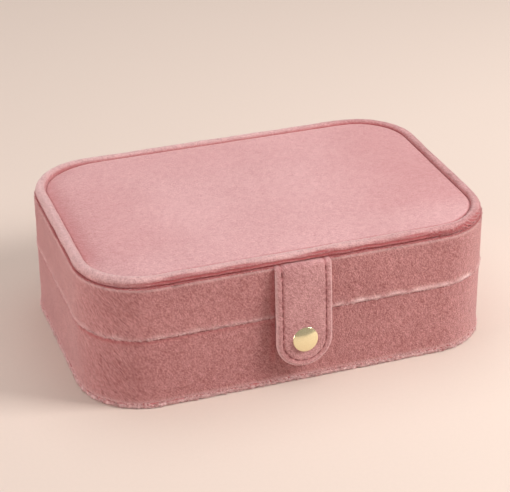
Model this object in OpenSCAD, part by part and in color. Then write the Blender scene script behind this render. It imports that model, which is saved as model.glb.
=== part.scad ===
// Travel jewellery box: a velvet-covered board case with a piped, padded lid, a fabric hinge along
// the back and a snap tab at the front. Millimetres, +Z up, front towards -Y. The origin is on the
// table, under the middle of the case.

/* [Case] */
// Length of the case, side to side
case_l = 165; // [140:1:210]
// Depth of the case, front to back
case_w = 110; // [100:1:140]
// Radius of the case's corners, seen from above
corner_r = 26; // [20:0.5:30]
// Height of the parting line above the table
base_h = 29.5; // [26:0.5:40]
// Height of the lid's side wall, above the parting line
lid_wall_h = 21.1; // [19:0.1:30]
// Gap between lid and base at the parting line
parting_gap = 0.3; // [0.2:0.05:0.6]

/* [Boards and coverings] */
// Thickness of the boards that stiffen the walls and the lid's top
board_t = 2; // [1.5:0.1:3]
// Thickness of the velvet outside
velvet_t = 0.8; // [0.5:0.1:1.2]
// Thickness of the lining inside
lining_t = 1.2; // [0.8:0.1:2]
// Thickness of the board under the base
bottom_board_t = 1.8; // [1.2:0.1:3]
// Thickness of the velvet under the base
underside_t = 0.6; // [0.4:0.1:1]
// How far the bottom panel's edge stands in from the wall
bottom_setback = 0.3; // [0.1:0.1:1]
// Thickness of the pad on the base's floor
floor_pad_t = 1.8; // [1:0.1:3]

/* [Padded lid] */
// Diameter of the piping round the lid's top edge
piping_d = 4.2; // [3:0.1:5]
// How far the piping's outside stands in from the wall
piping_setback = 0.8; // [0.2:0.1:1.5]
// Height of the lid's padding over the wall, at the middle
crown_h = 4.4; // [3:0.1:7]
// Height of the lid's padding over the wall, at the piping
crown_edge_h = 2.4; // [1.5:0.1:4]
// Thickness of the padded panel inside the lid
panel_t = 3; // [2:0.1:5]

/* [Fabric hinge] */
// How far the hinge fabric reaches above and below the parting line
hinge_leaf = 9; // [6:0.5:14]
// Distance from the hinge fabric's ends to where the corners begin
hinge_end_gap = 4; // [2:0.5:10]

/* [Snap tab] */
// Width of the tab
tab_w = 22.5; // [18:0.5:30]
// Distance of the tab's middle from the case's middle
tab_x = -1; // [-6:0.5:6]
// Height of the tab's tip above the table
tab_tip_z = 8.2; // [5:0.1:12]
// Thickness of each of the tab's two layers
tab_layer_t = 1; // [0.7:0.1:1.5]
// Gap between the tab and the wall at the tab's top
tab_top_gap = 0.4; // [0.3:0.1:1]
// Height of the tab's sewn end, between the piping and the line where the tab bends
tab_root_h = 2; // [1:0.1:4]
// Gap at the line where the tab bends
tab_bend_gap = 0.3; // [0.2:0.05:0.5]
// Distance from the tab's tip to the snap's middle
snap_rise = 11.9; // [10:0.1:16]
// Distance of the stitching from the tab's edge
stitch_inset = 2.6; // [2:0.1:4]
// Length of one stitch
stitch_l = 2.2; // [1.5:0.1:3]
// Distance from one stitch to the next
stitch_pitch = 3.1; // [2.6:0.1:4]
// Diameter of the thread
thread_d = 0.45; // [0.3:0.05:0.7]

/* [Snap fastener] */
// Diameter of the domed cap
cap_d = 10; // [8:0.5:12.5]
// Height of the cap's dome
cap_h = 1.3; // [0.8:0.1:2]
// Outside diameter of the socket
socket_d = 9.6; // [8:0.1:12]
// Height of the socket
socket_h = 1.8; // [1.6:0.1:3]
// Diameter of the hole in the socket
socket_bore_d = 5.2; // [4.8:0.1:6]
// Diameter of the stud's head
stud_d = 4; // [3.5:0.1:4.4]
// Height of the stud's head over its flange
stud_h = 1.2; // [0.8:0.1:1.3]
// Diameter of the stud's flange
stud_flange_d = 9; // [7:0.1:11]
// Thickness of the flanges on the stud and on its rivet
flange_t = 0.4; // [0.3:0.1:0.6]
// Diameter of the rivet posts
post_d = 3; // [2:0.1:3.4]
// Space round a post, and between the snap's two halves
snap_fit = 0.1; // [0.05:0.05:0.2]

/* [Ring section] */
// Width of the ring section, between its partitions
ring_w = 50; // [40:1:60]
// Diameter of a ring roll
roll_d = 13.6; // [10:0.1:15]
// Smallest gap between one ring roll and the next
roll_gap = 0.8; // [0.5:0.1:2]
// Thickness of the foam under the ring rolls
ring_bed_t = 4.8; // [3:0.1:6]
// Thickness of the partitions
partition_t = 2.4; // [2:0.1:3]
// Distance of the partitions' top edges below the parting line
partition_drop = 3.5; // [3:0.1:8]

/* [Sliding dividers] */
// Thickness of a divider
divider_t = 2.4; // [2:0.1:3]
// Distance of the dividers' top edges below the parting line
divider_drop = 5; // [3:0.1:10]
// Play at each end of a divider, and under it
divider_fit = 0.3; // [0.2:0.05:0.6]
// Distance of the left divider behind the case's middle, as it is stored
left_divider_y = -6; // [-15:1:15]
// Distance of the right divider behind the case's middle, as it is stored
right_divider_y = 12; // [-15:1:15]

/* [Inside the lid] */
// Number of necklace straps
strap_n = 3; // [2:1:4]
// Distance from one necklace strap to the next
strap_pitch = 44; // [30:1:50]
// Width of a necklace strap
strap_w = 9; // [7:0.5:12]
// Length of a necklace strap, from its sewn end to its tip
strap_l = 18; // [14:0.5:19]
// Thickness of a necklace strap
strap_t = 1.5; // [1:0.1:2]
// Height of the necklace straps off the panel
strap_gap = 0.7; // [0.6:0.1:1.2]
// Distance from the lining to the straps' sewn ends
strap_setback = 10; // [9:0.5:16]
// Length of the sewn block at a strap's end
anchor_l = 3; // [2:0.1:4]
// Gap between a strap and its sewn block
strap_bend_gap = 0.3; // [0.2:0.05:0.5]
// Diameter of the small snap caps on the straps
strap_cap_d = 6.5; // [5:0.1:7]
// Distance of the pouch's mouth behind the case's middle
pouch_mouth_y = 3; // [0:0.5:10]
// Thickness of the pouch's cloth
pouch_cloth_t = 1; // [0.6:0.1:1.5]
// Space inside the pouch when it is empty
pouch_space = 1.1; // [0.8:0.1:2]
// Width of the seam round the pouch
pouch_seam_w = 1.5; // [1:0.1:3]

/* [Hidden] */
$fn = 96;
crown_fn = 32;
eps = 0.01;
touch_gap = 0.05; // between soft pieces that rest against each other
velvet = [0.72, 0.48, 0.48];
velvet_light = [0.84, 0.64, 0.64];
lining = [0.93, 0.86, 0.82];
board = [0.62, 0.56, 0.5];
foam = [0.95, 0.93, 0.85];
gold = [0.86, 0.74, 0.48];
thread = [0.45, 0.2, 0.22];

// Wall, from outside to inside
board_in = velvet_t;
lining_in = board_in + board_t;
cavity_in = lining_in + lining_t;

// Heights
wall_z0 = underside_t + bottom_board_t;
floor_z = wall_z0 + floor_pad_t;
base_top = base_h - parting_gap / 2;
lid_bottom = base_h + parting_gap / 2;
wall_top = base_h + lid_wall_h;
top_board_z = wall_top - board_t;
panel_z = top_board_z - panel_t;
partition_top = base_h - partition_drop;

// Piping and the padding inside it
piping_in = piping_setback + piping_d / 2;
pad_in = piping_setback + piping_d + touch_gap;

// Hinge fabric
hinge_l = case_l - 2 * (corner_r + hinge_end_gap);

// Tab, which leans out so that the upper edge of its socket clears the wall
tab_top_z = wall_top - tab_root_h - tab_bend_gap;
snap_z = tab_tip_z + snap_rise;
tab_lean = atan((socket_h + snap_fit - tab_top_gap) / (tab_top_z - snap_z - socket_d / 2));
tab_l = (tab_top_z - tab_tip_z) / cos(tab_lean);
tab_t = 2 * tab_layer_t;
snap_down = tab_l - snap_rise;
front_y = -case_w / 2;
back_y = case_w / 2;

// Ring section
cavity_w = case_w - 2 * cavity_in;
cavity_l = case_l - 2 * cavity_in;
roll_n = floor((cavity_w - roll_gap) / (roll_d + roll_gap));
roll_pitch = (cavity_w - roll_gap) / roll_n;
ring_bed_z = floor_z + ring_bed_t;
partition_x = (ring_w + partition_t) / 2;
tray_x0 = ring_w / 2 + partition_t;
tray_l = cavity_l / 2 - tray_x0;

// Lid fittings
strap_z = panel_z - strap_gap - strap_t;
strap_y0 = -cavity_w / 2 + strap_setback;
strap_cap_h = 0.9;
strap_snap_y = strap_l - strap_w / 2;
pouch_in = cavity_in + 1;
pouch_d = pouch_cloth_t + pouch_space;

// ---- Shapes that repeat ----

// The case's outline from above, moved in from the outer face
module plan(inset = 0) {
    l = case_l - 2 * inset;
    w = case_w - 2 * inset;
    r = max(corner_r - inset, 2);
    square([l - 2 * r, w], center = true);
    square([l, w - 2 * r], center = true);
    for (sx = [-1, 1], sy = [-1, 1])
        translate([sx * (l / 2 - r), sy * (w / 2 - r)]) circle(r);
}

module slab(inset, z0, z1) {
    translate([0, 0, z0]) linear_extrude(z1 - z0) plan(inset);
}

// A wall that follows the outline, between two insets
module wall(inset_out, inset_in, z0, z1) {
    translate([0, 0, z0]) linear_extrude(z1 - z0) difference() {
        plan(inset_out);
        plan(inset_in);
    }
}

// A round cord laid along the outline
module cord_loop(inset, z, r) {
    l = case_l - 2 * inset;
    w = case_w - 2 * inset;
    bend = corner_r - inset;
    for (s = [-1, 1]) {
        translate([0, s * w / 2, z]) rotate([0, 90, 0]) cylinder(r = r, h = l - 2 * bend, center = true);
        translate([s * l / 2, 0, z]) rotate([90, 0, 0]) cylinder(r = r, h = w - 2 * bend, center = true);
    }
    for (turn = [0:3]) {
        sx = (turn == 0 || turn == 3) ? 1 : -1;
        sy = turn < 2 ? 1 : -1;
        translate([sx * (l / 2 - bend), sy * (w / 2 - bend), z])
            rotate([0, 0, 90 * turn]) rotate_extrude(angle = 90) translate([bend, 0]) circle(r);
    }
}

// A slab whose top swells from its edge towards the middle
module crowned_slab(inset, z0, edge_z, top_z) {
    rise = top_z - edge_z;
    hull() {
        slab(inset, z0, edge_z, $fn = crown_fn);
        slab(inset + 4, z0, edge_z + 0.55 * rise, $fn = crown_fn);
        slab(inset + 12, z0, edge_z + 0.87 * rise, $fn = crown_fn);
        slab(inset + 20, z0, top_z, $fn = crown_fn);
    }
}

// A strap's outline: square at its root, round at its tip, running towards -Y
module strap_plan(w, l) {
    translate([-w / 2, -(l - w / 2)]) square([w, l - w / 2]);
    translate([0, -(l - w / 2)]) circle(d = w);
}

// The space that the hinge fabric takes in a wall, between two insets
module hinge_space(inset_out, inset_in, clear = 0) {
    translate([-hinge_l / 2 - clear, back_y - inset_in - clear, base_h - hinge_leaf - clear])
        cube([hinge_l + 2 * clear, inset_in - inset_out + 2 * clear, 2 * (hinge_leaf + clear)]);
}

// Puts a piece that is drawn flat, with its root at the origin, where the tab hangs
module on_tab() {
    translate([tab_x, front_y - tab_top_gap, tab_top_z]) rotate([-tab_lean, 0, 0])
        rotate([90, 0, 0]) children();
}

// Puts a piece that is drawn flat where necklace strap i hangs under the panel
module on_strap(i) {
    x = (i - (strap_n + 1) / 2) * strap_pitch;
    translate([x, strap_y0, strap_z]) children();
}

// ---- Base ----

module bottom_board() {
    color(board)
        slab(bottom_setback + underside_t, underside_t, wall_z0);
}

module underside_cover() {
    color(velvet) union() {
        slab(bottom_setback, 0, underside_t);
        wall(bottom_setback, bottom_setback + underside_t, underside_t - eps, wall_z0);
    }
}

module base_wall_board() {
    color(board) difference() {
        wall(board_in, lining_in, wall_z0, base_top - velvet_t);
        snap_post_hole();
        flange_seat(lining_in - flange_t, lining_in);
    }
}

module base_cover() {
    color(velvet) difference() {
        union() {
            wall(0, board_in, wall_z0, base_top - velvet_t + eps);
            wall(0, lining_in, base_top - velvet_t, base_top);
        }
        snap_post_hole();
        flange_seat(0, flange_t);
        hinge_space(0, board_in, touch_gap);
    }
}

module base_wall_lining() {
    color(lining) difference() {
        wall(lining_in, cavity_in, wall_z0, base_top);
        hinge_space(lining_in, cavity_in, touch_gap);
    }
}

module floor_pad() {
    color(lining) slab(cavity_in + touch_gap, wall_z0, floor_z);
}

// A round space or piece in the front wall, on the snap's axis, between two insets
module on_snap_axis(d, inset_out, inset_in) {
    translate([tab_x, front_y + inset_in, snap_z]) rotate([90, 0, 0])
        cylinder(d = d, h = inset_in - inset_out);
}

module snap_post_hole() {
    on_snap_axis(post_d + 2 * snap_fit, -1, cavity_in);
}

// A flange lies flush in its seat, so the seat is open at one side
module flange_seat(inset_out, inset_in) {
    on_snap_axis(stud_flange_d + 2 * snap_fit, inset_out - eps, inset_in + eps);
}

module snap_stud() {
    color(gold) {
        on_snap_axis(stud_flange_d, 0, flange_t);
        on_snap_axis(stud_d, -stud_h, eps);
    }
}

// The rivet's post runs through the wall to the back of the stud's flange
module stud_rivet() {
    color(gold) {
        on_snap_axis(stud_flange_d, lining_in - flange_t, lining_in);
        on_snap_axis(post_d, flange_t, lining_in - flange_t + eps);
    }
}

// ---- Ring section and trays ----

module ring_bed() {
    color(foam) translate([0, 0, floor_z + ring_bed_t / 2])
        cube([ring_w - 2 * touch_gap, cavity_w - 2 * touch_gap, ring_bed_t], center = true);
}

module ring_roll(i) {
    y = (i - (roll_n + 1) / 2) * roll_pitch;
    color(lining) translate([0, y, ring_bed_z + touch_gap + roll_d / 2]) rotate([0, 90, 0])
        cylinder(d = roll_d, h = ring_w - 4 * touch_gap, center = true);
}

module ring_partition(side) {
    color(lining) translate([side * partition_x, 0, (floor_z + partition_top) / 2])
        cube([partition_t, cavity_w - 2 * touch_gap, partition_top - floor_z], center = true);
}

module divider(side, y) {
    z0 = floor_z + divider_fit;
    z1 = base_h - divider_drop;
    color(lining) translate([side * (tray_x0 + tray_l / 2), y, (z0 + z1) / 2])
        cube([tray_l - 2 * divider_fit, divider_t, z1 - z0], center = true);
}

// ---- Hinge ----

module hinge_strip() {
    color(velvet) hinge_space(0, board_in - touch_gap);
}

module hinge_lining() {
    color(lining) hinge_space(lining_in + touch_gap, cavity_in);
}

// ---- Lid ----

module lid_wall_board() {
    color(board) wall(board_in, lining_in, lid_bottom + velvet_t, top_board_z);
}

module lid_top_board() {
    color(board) slab(board_in, top_board_z, wall_top);
}

module lid_cover() {
    color(velvet) difference() {
        union() {
            wall(0, board_in, lid_bottom + velvet_t - eps, wall_top);
            wall(0, lining_in, lid_bottom, lid_bottom + velvet_t);
        }
        hinge_space(0, board_in, touch_gap);
    }
}

module lid_wall_lining() {
    color(lining) difference() {
        wall(lining_in, cavity_in, lid_bottom, top_board_z);
        hinge_space(lining_in, cavity_in, touch_gap);
    }
}

module lid_foam() {
    color(foam)
        crowned_slab(pad_in + velvet_t + touch_gap, wall_top, wall_top + crown_edge_h - velvet_t,
                     wall_top + crown_h - velvet_t - touch_gap);
}

module lid_top_cover() {
    color(velvet_light) difference() {
        crowned_slab(pad_in, wall_top, wall_top + crown_edge_h, wall_top + crown_h);
        translate([0, 0, -eps])
            crowned_slab(pad_in + velvet_t, wall_top, wall_top + crown_edge_h - velvet_t + eps,
                         wall_top + crown_h - velvet_t + eps);
    }
}

module lid_piping() {
    color(velvet) cord_loop(piping_in, wall_top + touch_gap + piping_d / 2, piping_d / 2);
}

module lid_panel() {
    color(lining) slab(cavity_in + touch_gap, panel_z, top_board_z);
}

// The part of the outline behind the pouch's mouth
module pouch_plan(inset, mouth_y) {
    intersection() {
        plan(inset);
        translate([-case_l / 2, mouth_y]) square([case_l, case_w]);
    }
}

module pouch() {
    z0 = panel_z - pouch_d;
    color(lining) difference() {
        translate([0, 0, z0]) linear_extrude(pouch_d) pouch_plan(pouch_in, pouch_mouth_y);
        translate([0, 0, z0 + pouch_cloth_t]) linear_extrude(pouch_d)
            pouch_plan(pouch_in + pouch_seam_w, pouch_mouth_y - 1);
    }
}

module pouch_elastic() {
    r = pouch_d / 2;
    color(lining) translate([0, pouch_mouth_y - r - touch_gap, panel_z - r - touch_gap])
        rotate([0, 90, 0]) cylinder(r = r, h = case_l - 2 * pouch_in, center = true);
}

module strap_anchor(i) {
    color(lining) on_strap(i) translate([-strap_w / 2, -anchor_l - strap_bend_gap, 0])
        cube([strap_w, anchor_l, strap_t + strap_gap]);
}

module strap_studs() {
    color(gold) for (i = [1:strap_n]) on_strap(i)
        translate([0, strap_snap_y, strap_t + snap_fit]) cylinder(d = stud_d, h = strap_gap - snap_fit);
}

module necklace_strap(i) {
    color(lining) on_strap(i) translate([0, strap_t / 2, 0]) {
        mirror([0, 1, 0]) linear_extrude(strap_t) strap_plan(strap_w, strap_l - strap_t / 2);
        translate([0, 0, strap_t / 2]) rotate([0, 90, 0]) cylinder(d = strap_t, h = strap_w, center = true);
    }
}

module strap_cap(i) {
    color(gold) on_strap(i) translate([0, strap_snap_y, -strap_cap_h])
        dome(strap_cap_d, strap_cap_h);
}

// A shallow dome that stands on a disc, with its crown downwards
module dome(d, h) {
    rim = 0.35 * h;
    sag = h - rim;
    r = (d * d / 4 + sag * sag) / (2 * sag);
    translate([0, 0, h - rim]) cylinder(d = d, h = rim);
    intersection() {
        translate([0, 0, r]) sphere(r);
        cylinder(d = d, h = sag + eps);
    }
}

// ---- Tab ----

// The end of the tab that is sewn in under the piping
module tab_sewn_end() {
    color(velvet) translate([tab_x - tab_w / 2, front_y - tab_top_gap - tab_t, wall_top - tab_root_h])
        cube([tab_w, tab_t + tab_top_gap, tab_root_h]);
}

module tab_layer(z0, hole_d) {
    translate([0, 0, z0]) difference() {
        linear_extrude(tab_layer_t) strap_plan(tab_w, tab_l);
        translate([0, -snap_down, -1]) cylinder(d = hole_d, h = tab_layer_t + 2);
    }
}

module tab_backing() {
    color(velvet) on_tab() tab_layer(0, post_d + 2 * snap_fit);
}

module tab_face() {
    color(velvet) on_tab() tab_layer(tab_layer_t, post_d + 2 * snap_fit);
}

// Stitches run down one side, round the tip and up the other
module tab_stitching() {
    bend = tab_w / 2 - stitch_inset;
    straight = tab_l - tab_w / 2;
    side_n = floor((straight - stitch_pitch / 2) / stitch_pitch);
    round_n = floor(PI * bend / stitch_pitch);
    color(thread) on_tab() translate([0, 0, tab_t + thread_d / 2]) {
        for (s = [-1, 1], k = [0:side_n - 1])
            translate([s * bend, -straight + (k + 0.6) * stitch_pitch, 0]) stitch();
        translate([0, -straight, 0]) for (k = [0:round_n - 1])
            rotate([0, 0, -180 * (k + 0.5) / round_n]) translate([bend, 0, 0]) stitch();
    }
}

module stitch() {
    rotate([90, 0, 0]) cylinder(d = thread_d, h = stitch_l, center = true);
}

module snap_cap() {
    color(gold) on_tab() translate([0, -snap_down, 0]) {
        translate([0, 0, tab_t + cap_h]) mirror([0, 0, 1]) dome(cap_d, cap_h);
        translate([0, 0, touch_gap]) cylinder(d = post_d, h = tab_t);
    }
}

module snap_socket() {
    color(gold) on_tab() translate([0, -snap_down, -socket_h]) difference() {
        cylinder(d = socket_d, h = socket_h);
        translate([0, 0, -1]) cylinder(d = socket_bore_d, h = socket_h - flange_t + 1);
    }
}

// ---- Nodes ----

bottom_board();
underside_cover();
base_wall_board();
base_cover();
base_wall_lining();
floor_pad();
ring_bed();
for (i = [1:roll_n]) ring_roll(i);
ring_partition(-1);  // ring_partition_left
ring_partition(1);  // ring_partition_right
divider(-1, left_divider_y);  // divider_left
divider(1, right_divider_y);  // divider_right
snap_stud();
stud_rivet();
hinge_strip();
hinge_lining();
lid_wall_board();
lid_top_board();
lid_cover();
lid_wall_lining();
lid_foam();
lid_top_cover();
lid_piping();
lid_panel();
pouch();
pouch_elastic();
strap_studs();
for (i = [1:strap_n]) strap_anchor(i);
for (i = [1:strap_n]) necklace_strap(i);
for (i = [1:strap_n]) strap_cap(i);
tab_sewn_end();
tab_face();
tab_backing();
tab_stitching();
snap_cap();
snap_socket();
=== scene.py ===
import math

import bmesh
import bpy
import numpy as np
from mathutils import Matrix, Vector, noise


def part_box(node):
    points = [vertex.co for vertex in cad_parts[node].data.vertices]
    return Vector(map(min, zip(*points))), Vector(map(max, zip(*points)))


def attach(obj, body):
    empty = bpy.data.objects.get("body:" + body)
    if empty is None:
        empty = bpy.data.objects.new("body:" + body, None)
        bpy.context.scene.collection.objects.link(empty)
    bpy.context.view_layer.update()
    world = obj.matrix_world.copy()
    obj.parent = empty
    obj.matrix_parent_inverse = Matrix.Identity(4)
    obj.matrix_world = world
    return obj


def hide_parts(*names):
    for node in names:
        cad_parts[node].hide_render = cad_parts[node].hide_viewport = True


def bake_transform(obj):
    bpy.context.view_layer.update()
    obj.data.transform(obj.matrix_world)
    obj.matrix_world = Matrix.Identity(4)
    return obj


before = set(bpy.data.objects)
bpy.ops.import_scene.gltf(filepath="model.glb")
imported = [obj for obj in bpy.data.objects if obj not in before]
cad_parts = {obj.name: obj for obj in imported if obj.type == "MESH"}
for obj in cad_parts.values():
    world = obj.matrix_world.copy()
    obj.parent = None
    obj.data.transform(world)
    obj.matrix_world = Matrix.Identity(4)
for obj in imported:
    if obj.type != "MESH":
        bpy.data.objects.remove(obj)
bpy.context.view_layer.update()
mm = 0.001
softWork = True


# places and sizes taken from the frame
def low(node):
    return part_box(node)[0]


def high(node):
    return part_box(node)[1]


case = {
    "cornerRadius": 26 * mm,
    "velvet": 0.8 * mm,                # cover's thickness
    "halfLength": high("base_cover").x,
    "halfWidth": high("base_cover").y,
    "baseTop": high("base_cover").z,
    "lidBottom": low("lid_cover").z,
    "wallTop": high("lid_cover").z,
    "rimIn": high("base_cover").x - high("base_wall_lining").x,
}
case["parting"] = (case["baseTop"] + case["lidBottom"]) / 2


# meshes
def makePiece(name, points, faces, body, finish, smooth=True):
    mesh = bpy.data.meshes.new(name)
    mesh.from_pydata(points.tolist() if hasattr(points, "tolist") else points, [], faces)
    mesh.validate()
    piece = bpy.data.objects.new(name, mesh)
    bpy.context.collection.objects.link(piece)
    mesh.materials.append(finish)
    mesh.polygons.foreach_set("use_smooth", [smooth] * len(mesh.polygons))
    if body:
        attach(piece, body)
    return piece


def gridFaces(rows, columns, wrapRows=False, wrapColumns=False, first=0, flip=False):
    # four-sided faces of a grid of points, stored row by row
    i = np.arange(rows if wrapRows else rows - 1)[:, None]
    j = np.arange(columns if wrapColumns else columns - 1)[None, :]
    ni, nj = (i + 1) % rows, (j + 1) % columns
    quads = np.stack([i * columns + j, i * columns + nj, ni * columns + nj, ni * columns + j], -1)
    quads = quads.reshape(-1, 4) + first
    return (quads[:, ::-1] if flip else quads).tolist()


def tubeFaces(rings, around, flip=False):
    # the sides and both ends of a tube whose points are stored ring by ring
    first, last = range(around), range((rings - 1) * around, rings * around)
    ends = (first, last[::-1]) if flip else (first[::-1], last)
    return gridFaces(rings, around, False, True, flip=flip) + [list(end) for end in ends]


def outline(count, inset=0.0):
    # even steps once round the case: places and outward directions
    a, b, r = case["halfLength"], case["halfWidth"], case["cornerRadius"]
    longRun, shortRun, bend = 2 * (a - r), 2 * (b - r), math.pi / 2 * r
    corners = [(a - r, b - r), (r - a, b - r), (r - a, r - b), (a - r, r - b)]
    starts = [(a, r - b), (a - r, b), (-a, b - r), (r - a, -b)]
    headings = [(0, 1), (-1, 0), (0, -1), (1, 0)]
    places, ways = [], []
    whole = 2 * longRun + 2 * shortRun + 4 * bend
    for k in range(count):
        s = whole * k / count
        for side in range(4):
            run = shortRun if side % 2 == 0 else longRun
            if s < run:
                heading = headings[side]
                places.append((starts[side][0] + heading[0] * s, starts[side][1] + heading[1] * s))
                ways.append((heading[1], -heading[0]))
                break
            s -= run
            if s < bend:
                angle = side * math.pi / 2 + s / r
                way = (math.cos(angle), math.sin(angle))
                places.append((corners[side][0] + way[0] * r, corners[side][1] + way[1] * r))
                ways.append(way)
                break
            s -= bend
    places, ways = np.array(places), np.array(ways)
    return places - inset * ways, ways


def sweepRound(profile, count):
    # carries a closed profile of (inset, height) points round the case
    places, ways = outline(count)
    profile = np.array(profile)
    flat = places[:, None, :] - profile[None, :, 0, None] * ways[:, None, :]
    heights = np.broadcast_to(profile[None, :, 1, None], (count, len(profile), 1))
    points = np.concatenate([flat, heights], -1).reshape(-1, 3)
    return points, gridFaces(count, len(profile), True, True)


def bentLine(stops, step, roundings):
    # points along a closed path whose corners are rounded, about one step apart
    # each stop is (inset, height, rounding), in metres
    path = []
    n = len(stops)
    for k, (x, z, r) in enumerate(stops):
        here = Vector((x, z))
        before = Vector(stops[k - 1][:2])
        after = Vector(stops[(k + 1) % n][:2])
        r = min(r, (before - here).length * 0.49, (after - here).length * 0.49)
        if r < 0.01 * mm:
            path.append(here)
            continue
        enter = here + (before - here).normalized() * r
        leave = here + (after - here).normalized() * r
        for i in range(roundings + 1):
            t = i / roundings
            path.append(enter * (1 - t) ** 2 + here * 2 * t * (1 - t) + leave * t ** 2)
    full = []
    for k, p in enumerate(path):
        q = path[(k + 1) % len(path)]
        parts = max(1, round((q - p).length / step(p, q)))
        full += [tuple(p.lerp(q, i / parts)) for i in range(parts)]
    return full


def gridSteps(half, edgeSteps, step):
    # distances from the middle, close together near both edges
    inner = half - edgeSteps[-1]
    count = max(1, math.ceil(2 * inner / step))
    middle = [-inner + 2 * inner * i / count for i in range(count + 1)]
    edge = [half - e for e in edgeSteps[:-1]]
    return np.array([-e for e in edge] + middle + edge[::-1])


def roundedGrid(halfX, halfY, radiusFar, radiusNear, edgeSteps, step):
    # a sheet's points in plan with rounded corners, and each point's distance from the edge
    xs, ys = gridSteps(halfX, edgeSteps, step), gridSteps(halfY, edgeSteps, step)
    x, y = np.meshgrid(xs, ys)
    inset = np.minimum(halfX - abs(x), halfY - abs(y))
    for sign, radius in ((1, radiusFar), (-1, radiusNear)):
        if radius <= 0:
            continue
        px, py = abs(x) - (halfX - radius), y * sign - (halfY - radius)
        corner = (px > 0) & (py > 0)
        reach = np.maximum(px, py)
        with np.errstate(divide="ignore", invalid="ignore"):
            angle = np.where(px >= py, math.pi / 4 * py / px, math.pi / 2 - math.pi / 4 * px / py)
        cornerX = (halfX - radius + reach * np.cos(angle)) * np.sign(x)
        cornerY = (halfY - radius + reach * np.sin(angle)) * sign
        x, y = np.where(corner, cornerX, x), np.where(corner, cornerY, y)
    return x, y, inset


def roundEdge(inset, reach):
    # 0 at the edge and 1 from reach inwards, as a quarter round
    t = np.clip(inset / reach, 0, 1)
    return np.sqrt(np.maximum(0.0, 1 - (1 - t) ** 2))


def ease(value, start, end):
    t = np.clip((value - start) / (end - start), 0, 1)
    return t * t * (3 - 2 * t)


def ripple(x, y, size, seed):
    # smooth unevenness from -1 to 1 over a sheet
    flatX, flatY = np.ravel(x), np.ravel(y)
    found = [noise.noise(Vector((px / size, py / size, seed))) for px, py in zip(flatX, flatY)]
    return np.array(found).reshape(np.shape(x))


def cushionMesh(x, y, top, bottom, place):
    # a closed sheet with an upper and a lower face; place turns (x, y, height) into the case's frame
    rows, columns = x.shape
    upper = place(x.ravel(), y.ravel(), top.ravel())
    lower = place(x.ravel(), y.ravel(), bottom.ravel())
    points = np.concatenate([upper, lower])
    n = rows * columns
    faces = gridFaces(rows, columns) + gridFaces(rows, columns, first=n, flip=True)
    rim = list(range(columns))
    rim += [r * columns + columns - 1 for r in range(1, rows)]
    rim += [(rows - 1) * columns + c for c in range(columns - 2, -1, -1)]
    rim += [r * columns for r in range(rows - 2, 0, -1)]
    for k, p in enumerate(rim):
        q = rim[(k + 1) % len(rim)]
        faces.append((q, p, p + n, q + n))
    return points, faces


def flatPlace(origin=(0, 0, 0)):
    def place(x, y, h):
        return np.stack([x + origin[0], y + origin[1], h + origin[2]], -1)
    return place


def pointsOf(piece):
    flat = np.empty(len(piece.data.vertices) * 3)
    piece.data.vertices.foreach_get("co", flat)
    return flat.reshape(-1, 3)


def pushOut(piece, distance):
    # moves each point along its own normal
    mesh = piece.data
    normals = np.empty(len(mesh.vertices) * 3)
    mesh.vertex_normals.foreach_get("vector", normals)
    moved = pointsOf(piece) + normals.reshape(-1, 3) * distance[:, None]
    mesh.vertices.foreach_set("co", moved.ravel())
    mesh.update()


def roughen(piece, amount, size, seed, stretch=(1, 1, 1)):
    # pushes the surface in and out by a fine, uneven amount
    scaled = pointsOf(piece) / (size * np.array(stretch)) + seed
    push = np.array([noise.noise(Vector(p)) for p in scaled])
    pushOut(piece, push * amount)


def mergePoints(piece, distance=0.01 * mm):
    work = bmesh.new()
    work.from_mesh(piece.data)
    bmesh.ops.remove_doubles(work, verts=work.verts, dist=distance)
    bmesh.ops.recalc_face_normals(work, faces=work.faces)
    work.to_mesh(piece.data)
    work.free()


# finishes
class Signal:
    # a shader socket that takes part in Python expressions
    def __init__(self, finish, socket):
        self.finish = finish
        self.socket = socket

    def maths(self, operation, *others):
        return self.finish.node("Math", {"operation": operation}, dict(enumerate((self, *others))))

    def __add__(self, other):
        return self.maths("ADD", other)

    def __sub__(self, other):
        return self.maths("SUBTRACT", other)

    def __rsub__(self, other):
        return self.finish.node("Math", {"operation": "SUBTRACT"}, {0: other, 1: self})

    def __mul__(self, other):
        return self.maths("MULTIPLY", other)

    __radd__ = __add__
    __rmul__ = __mul__


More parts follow.
